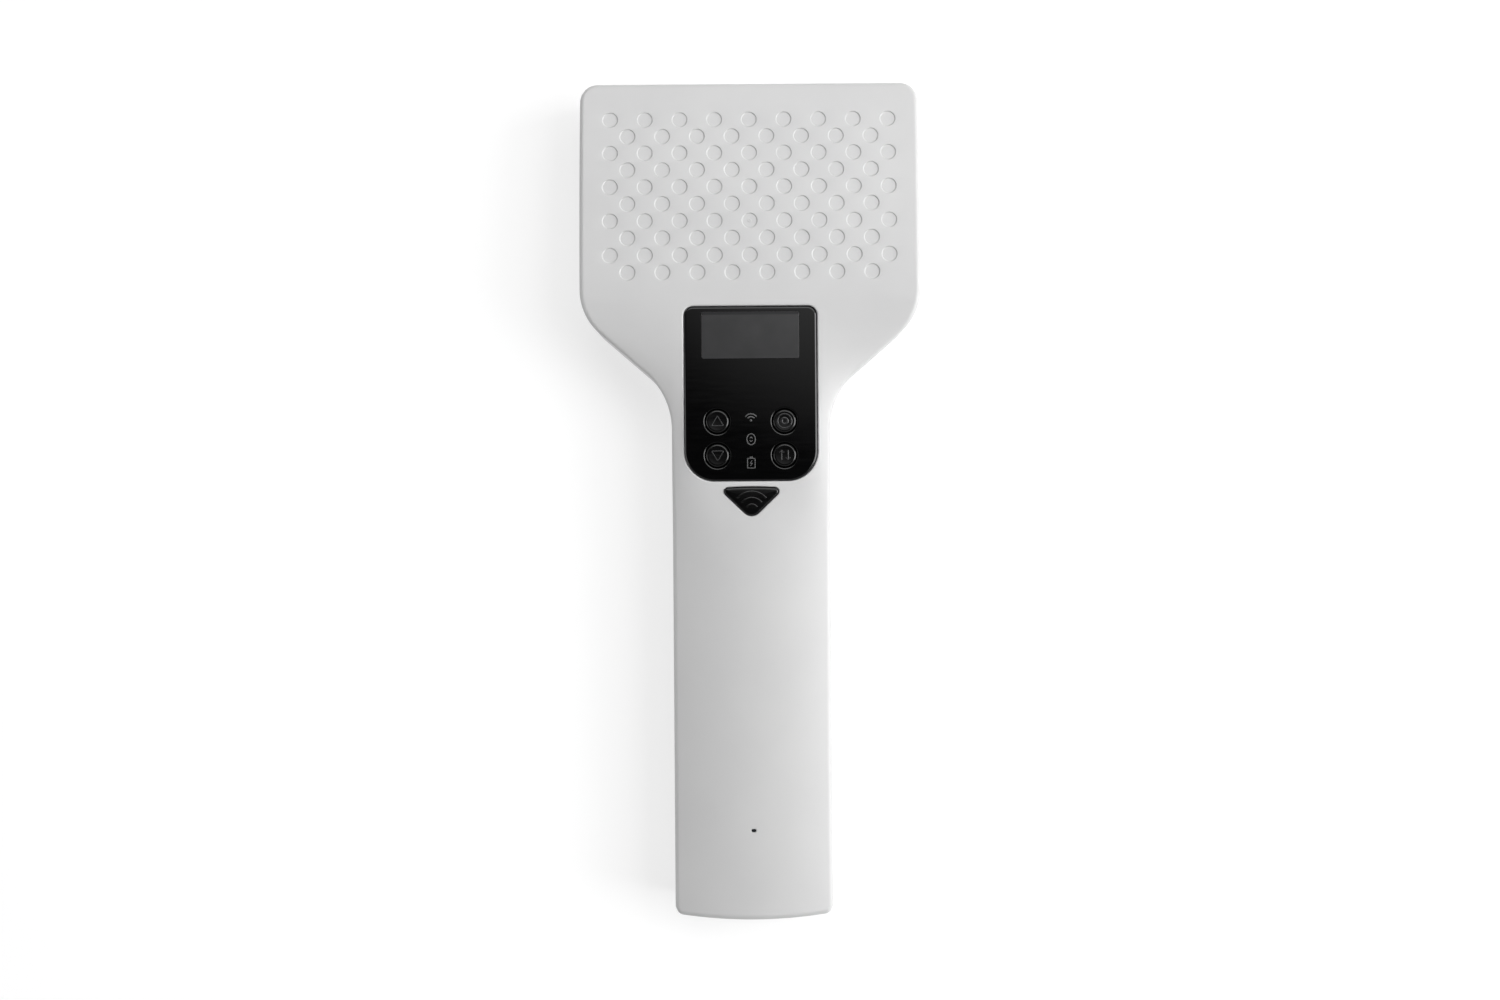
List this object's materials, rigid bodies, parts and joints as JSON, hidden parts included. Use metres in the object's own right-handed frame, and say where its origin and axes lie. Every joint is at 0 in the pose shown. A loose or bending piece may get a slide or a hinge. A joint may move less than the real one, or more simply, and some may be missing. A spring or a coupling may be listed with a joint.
{
  "type": "microchip scanner",
  "caption": "Handheld pet microchip scanner: square dimpled antenna head, tapering neck, grip handle, black control panel with display and round keys, triangular scan key.",
  "frame": {"origin": "on the flat back, in the middle of the scanner's length and width", "axes": "+Z is the outward normal of the front face, +Y points from the handle to the tip of the head, +X is to the right seen from the front"},
  "size_m": [0.1094, 0.27, 0.0286],
  "materials": {
    "white_plastic": "satin, fine even texture",
    "black_panel": "glossy",
    "smoked_window": "glossy, smoked",
    "black_keys": "satin gloss",
    "scan_key": "glossy",
    "adhesive": "matt",
    "label": "matt silver film",
    "grey_rubber": "matt",
    "steel": "zinc plated",
    "nickel": "nickel plated",
    "gold": "gold plated",
    "green_board": "solder mask",
    "black_chip": "matt moulded",
    "brown_film": "dipped",
    "amber_flex": "polyimide film",
    "oled_glass": "dark glass",
    "ivory_plastic": "moulded",
    "black_plastic": "moulded",
    "cell_wrap": "blue shrink wrap",
    "foam": "closed-cell foam",
    "red_wire": "insulation",
    "black_wire": "insulation",
    "grey_wire": "insulation",
    "copper_winding": "enamelled",
    "clear_plastic": "clear",
    "led": "moulded"
  },
  "bodies": {
    "casing": {"front_shell": "white_plastic", "rear_shell": "white_plastic", "housing_gasket": "grey_rubber", "housing_screws": "steel", "rating_label": "label", "control_panel": "black_panel", "panel_adhesive": "adhesive", "display_window": "smoked_window", "oled_display": "oled_glass", "display_holder": "black_plastic", "display_flex": "amber_flex", "keypad_mat": "grey_rubber", "contact_pads": "gold", "main_board": "green_board", "board_screws": "steel", "processor_chip": "black_chip", "reader_chip": "black_chip", "tuning_capacitors": "brown_film", "radio_module": "nickel", "buzzer": "black_plastic", "battery_socket": "ivory_plastic", "charge_cable_socket": "ivory_plastic", "battery_plug": "ivory_plastic", "battery_lead_red": "red_wire", "battery_lead_black": "black_wire", "battery_holder": "black_plastic", "battery_cells": "cell_wrap", "battery_contacts": "nickel", "battery_pads": "foam", "charge_board": "green_board", "charge_screws": "steel", "charge_chip": "black_chip", "usb_socket": "nickel", "charge_led": "led", "light_pipe": "clear_plastic", "charge_cable": "grey_wire", "coil_former": "ivory_plastic", "antenna_coil": "copper_winding", "coil_screws": "steel", "coil_socket": "ivory_plastic", "coil_leads": "copper_winding"},
    "key_up_body": {"key_up": "black_keys"},
    "key_down_body": {"key_down": "black_keys"},
    "key_power_body": {"key_power": "black_keys"},
    "key_menu_body": {"key_menu": "black_keys"},
    "scan_key_body": {"scan_key": "scan_key"}
  },
  "joints": [
    {"name": "key_up_press", "type": "slide", "parent": "casing", "child": "key_up_body", "axis": [0, 0, -1], "range_m": [0, 0.001], "stiffness_N_per_m": 800, "deforming": ["keypad_mat"]},
    {"name": "key_down_press", "type": "slide", "parent": "casing", "child": "key_down_body", "axis": [0, 0, -1], "range_m": [0, 0.001], "stiffness_N_per_m": 800, "deforming": ["keypad_mat"]},
    {"name": "key_power_press", "type": "slide", "parent": "casing", "child": "key_power_body", "axis": [0, 0, -1], "range_m": [0, 0.001], "stiffness_N_per_m": 800, "deforming": ["keypad_mat"]},
    {"name": "key_menu_press", "type": "slide", "parent": "casing", "child": "key_menu_body", "axis": [0, 0, -1], "range_m": [0, 0.001], "stiffness_N_per_m": 800, "deforming": ["keypad_mat"]},
    {"name": "scan_key_press", "type": "slide", "parent": "casing", "child": "scan_key_body", "axis": [0, 0, -1], "range_m": [0, 0.0012], "stiffness_N_per_m": 800, "deforming": ["keypad_mat"]}
  ]
}
